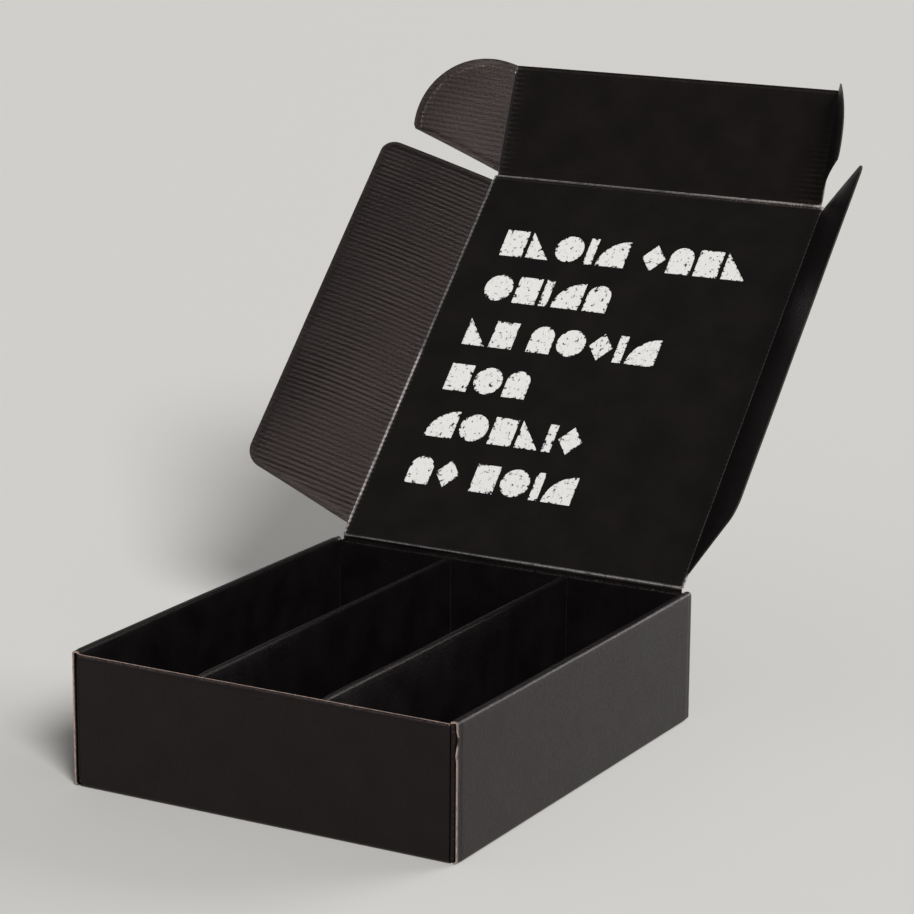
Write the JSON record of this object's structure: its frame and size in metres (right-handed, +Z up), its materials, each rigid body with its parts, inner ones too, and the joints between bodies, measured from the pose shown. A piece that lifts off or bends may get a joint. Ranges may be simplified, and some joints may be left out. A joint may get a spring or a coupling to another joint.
{
  "type": "bottle gift box",
  "caption": "Open black corrugated gift box for bottles: rolled-wall tray, pleated dividers, hinged lid with tuck flap, side flaps and ears.",
  "frame": {"origin": "centre of the tray's underside, on the surface it stands on", "axes": "+X along the front wall to the right, +Y from the front wall to the lid's hinge, +Z up"},
  "size_m": [0.4081, 0.5865, 0.4197],
  "materials": {
    "printed_board": "matte black print on corrugated board",
    "insert_board": "matte black print on corrugated board"
  },
  "bodies": {
    "tray": {"tray": "printed_board", "divider_insert": "insert_board"},
    "lid": {"lid_panel": "printed_board"},
    "left_side_flap": {"lid_side_flap_left": "printed_board"},
    "right_side_flap": {"lid_side_flap_right": "printed_board"},
    "front_flap": {"lid_front_flap": "printed_board"},
    "left_ear": {"tuck_ear_left": "printed_board"},
    "right_ear": {"tuck_ear_right": "printed_board"}
  },
  "joints": [
    {"name": "lid_hinge", "type": "hinge", "parent": "tray", "child": "lid", "pos_m": [0, 0.1641, 0.0942], "axis": [1, 0, 0], "range_deg": [-46, 98]},
    {"name": "left_side_flap_fold", "type": "hinge", "parent": "lid", "child": "left_side_flap", "pos_m": [-0.1374, 0.27941, 0.21361], "axis": [0, 0.6947, 0.7193], "range_deg": [-30, 60]},
    {"name": "right_side_flap_fold", "type": "hinge", "parent": "lid", "child": "right_side_flap", "pos_m": [0.1374, 0.27941, 0.21361], "axis": [0, -0.6947, -0.7193], "range_deg": [-53, 37]},
    {"name": "front_flap_fold", "type": "hinge", "parent": "lid", "child": "front_flap", "pos_m": [0, 0.39056, 0.32871], "axis": [1, 0, 0], "range_deg": [-24, 66]},
    {"name": "left_ear_fold", "type": "hinge", "parent": "front_flap", "child": "left_ear", "pos_m": [-0.1352, 0.40595, 0.37099], "axis": [0, 0.342, 0.9397], "range_deg": [-28, 62]},
    {"name": "right_ear_fold", "type": "hinge", "parent": "front_flap", "child": "right_ear", "pos_m": [0.1352, 0.40595, 0.37099], "axis": [0, -0.342, -0.9397], "range_deg": [-60, 30]}
  ],
  "couplings": [
    {"joint": "left_ear_fold", "follows": "front_flap_fold", "ratio": 0.93939},
    {"joint": "right_ear_fold", "follows": "front_flap_fold", "ratio": 0.45455}
  ]
}
